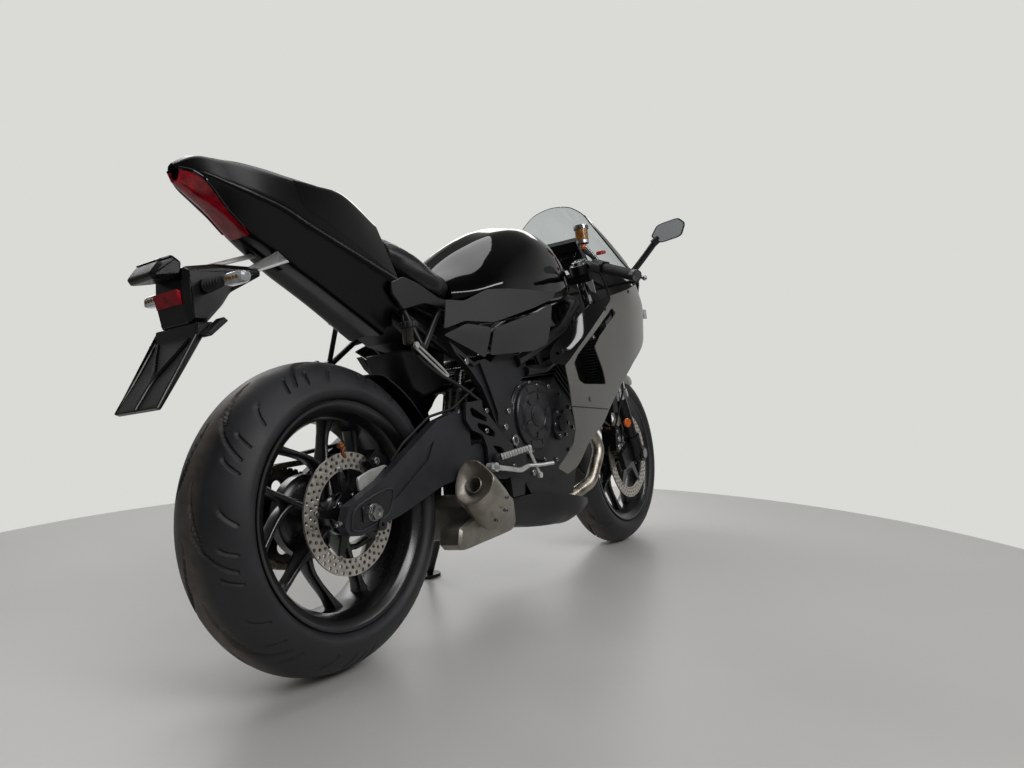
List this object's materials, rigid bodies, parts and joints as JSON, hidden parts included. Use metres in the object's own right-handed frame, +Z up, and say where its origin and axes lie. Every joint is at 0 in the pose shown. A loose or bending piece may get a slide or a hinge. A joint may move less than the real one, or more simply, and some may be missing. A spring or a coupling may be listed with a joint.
{
  "type": "sport motorcycle",
  "caption": "Faired two-wheeled road motorcycle leaning on its side stand, with raked fork, clip-on bars, seat cowl, chain drive and low silencer.",
  "frame": {"origin": "centre of the footprint box on the ground, with the bike leaning on its side stand", "axes": "+X forward, +Y to the rider's left, +Z up"},
  "size_m": [2.081, 0.7958, 1.151],
  "materials": {
    "tyre": "new rubber with a cut tread",
    "rim_black": "satin black cast alloy",
    "disc_steel": "ground stainless steel",
    "sprocket_steel": "dark coated steel",
    "chain_steel": "oiled steel",
    "swingarm_grey": "matte gunmetal cast alloy",
    "frame_black": "satin black tube",
    "plate_grey": "matte dark grey casting",
    "engine_black": "satin black casting",
    "cover_grey": "satin dark grey casting",
    "bright_steel": "zinc plated steel",
    "radiator_black": "matte black core",
    "header_steel": "heat tinted stainless pipe",
    "silencer_steel": "blasted steel box",
    "gloss_black": "gloss black lacquer",
    "body_grey": "satin warm grey paint",
    "trim_black": "grained black moulding",
    "charcoal": "matte charcoal cover",
    "vinyl": "black grained vinyl",
    "lamp_red": "red lamp lens",
    "lamp_clear": "clear lamp lens",
    "screen": "clear moulded screen",
    "rubber": "black grip rubber",
    "fork_chrome": "hard chromed tube",
    "caliper_black": "black cast caliper",
    "stand_black": "satin black steel"
  },
  "bodies": {
    "chassis": {"chain": "chain_steel", "swingarm": "swingarm_grey", "rear_axle": "bright_steel", "pivot_plates": "plate_grey", "main_frame": "frame_black", "subframe": "frame_black", "battery_tray": "trim_black", "engine_block": "engine_black", "clutch_cover": "cover_grey", "left_engine_covers": "cover_grey", "radiator": "radiator_black", "exhaust_headers": "header_steel", "exhaust_silencer": "silencer_steel", "tank_cap": "bright_steel", "fuel_tank": "gloss_black", "rider_seat": "vinyl", "seat_cowl": "gloss_black", "tail_light": "lamp_red", "tail_body": "trim_black", "tank_covers": "charcoal", "side_fairing_left": "body_grey", "side_fairing_right": "body_grey", "intake_panels": "gloss_black", "nose_fairing": "body_grey", "headlight": "lamp_clear", "windscreen": "screen", "belly_pan": "trim_black", "plate_holder": "trim_black", "rear_reflector": "lamp_red", "rear_indicators": "lamp_clear", "rear_caliper": "caliper_black", "rear_brake_hose": "rubber", "shock": "bright_steel", "rear_hugger": "trim_black", "foot_rests": "plate_grey", "foot_levers": "bright_steel", "instruments": "trim_black", "mirrors": "trim_black"},
    "steering": {"fork_clamps": "frame_black", "fork_tubes": "fork_chrome", "fork_sliders": "caliper_black", "front_axle": "bright_steel", "front_calipers": "caliper_black", "front_fender": "body_grey", "handlebars": "frame_black", "grips": "rubber", "levers": "bright_steel", "front_brake_hoses": "rubber"},
    "front_wheel": {"front_tyre": "tyre", "front_rim": "rim_black", "front_discs": "disc_steel"},
    "rear_wheel": {"rear_tyre": "tyre", "rear_rim": "rim_black", "rear_disc": "disc_steel", "rear_sprocket": "sprocket_steel"},
    "side_stand": {"side_stand": "stand_black"}
  },
  "joints": [
    {"name": "steering", "type": "hinge", "parent": "chassis", "child": "steering", "pos_m": [0.46918, -0.02638, 0.81817], "axis": [-0.4015, 0.1186, 0.9082], "range_deg": [-27, 27]},
    {"name": "front_wheel_spin", "type": "hinge", "parent": "steering", "child": "front_wheel", "pos_m": [0.7405, -0.09427, 0.2983], "axis": [0, 0.9916, -0.1295], "continuous": true},
    {"name": "rear_wheel_spin", "type": "hinge", "parent": "chassis", "child": "rear_wheel", "pos_m": [-0.6545, -0.09233, 0.31317], "axis": [0, 0.9916, -0.1295], "continuous": true},
    {"name": "side_stand_fold", "type": "hinge", "parent": "chassis", "child": "side_stand", "pos_m": [-0.0645, 0.03713, 0.21558], "axis": [0.1708, 0.8531, 0.493], "range_deg": [0, 103.6]}
  ]
}
